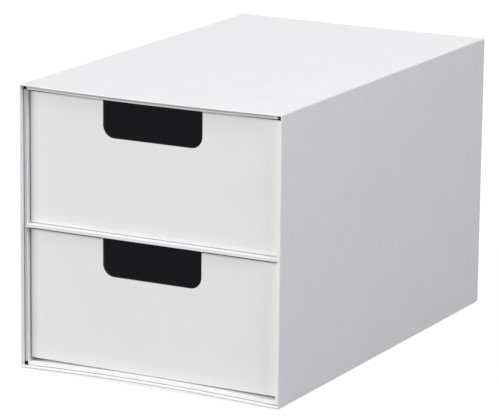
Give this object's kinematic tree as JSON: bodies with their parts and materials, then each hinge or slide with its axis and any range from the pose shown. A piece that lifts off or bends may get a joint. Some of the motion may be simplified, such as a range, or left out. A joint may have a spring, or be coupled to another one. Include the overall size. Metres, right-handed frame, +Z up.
{
  "type": "drawer box",
  "caption": "Free-standing box of rigid board covered in white paper, with full-width drawers one above the other, each pulled out to the front by a wide finger notch.",
  "frame": {"origin": "middle of the footprint, on the surface that the box stands on", "axes": "+Z up, +X to the right when seen from the front, -Y out of the open front, the way the drawers pull out"},
  "size_m": [0.2, 0.32, 0.1988],
  "materials": {
    "white_paper": "matte, fine grain",
    "sleeve_board": "matte, white outside",
    "liner_board": "matte, covered in white paper",
    "drawer_board": "matte, dark grey core",
    "black_paper": "matte"
  },
  "bodies": {
    "case": {"sleeve_top": "sleeve_board", "sleeve_bottom": "sleeve_board", "sleeve_left": "sleeve_board", "sleeve_right": "sleeve_board", "case_cover_paper": "white_paper", "case_base_paper": "white_paper", "back_panel": "sleeve_board", "back_cover_paper": "white_paper", "top_liner": "liner_board", "floor_liner": "liner_board", "upper_left_liner": "liner_board", "upper_right_liner": "liner_board", "lower_left_liner": "liner_board", "lower_right_liner": "liner_board", "shelf": "liner_board"},
    "upper_drawer": {"upper_drawer_front_board": "drawer_board", "upper_drawer_back_board": "drawer_board", "upper_drawer_left_board": "drawer_board", "upper_drawer_right_board": "drawer_board", "upper_drawer_base_board": "drawer_board", "upper_drawer_cover_paper": "white_paper", "upper_drawer_lining": "black_paper"},
    "lower_drawer": {"lower_drawer_front_board": "drawer_board", "lower_drawer_back_board": "drawer_board", "lower_drawer_left_board": "drawer_board", "lower_drawer_right_board": "drawer_board", "lower_drawer_base_board": "drawer_board", "lower_drawer_cover_paper": "white_paper", "lower_drawer_lining": "black_paper"}
  },
  "joints": [
    {"name": "upper_drawer_slide", "type": "slide", "parent": "case", "child": "upper_drawer", "axis": [0, -1, 0], "range_m": [0, 0.24]},
    {"name": "lower_drawer_slide", "type": "slide", "parent": "case", "child": "lower_drawer", "axis": [0, -1, 0], "range_m": [0, 0.24]}
  ]
}
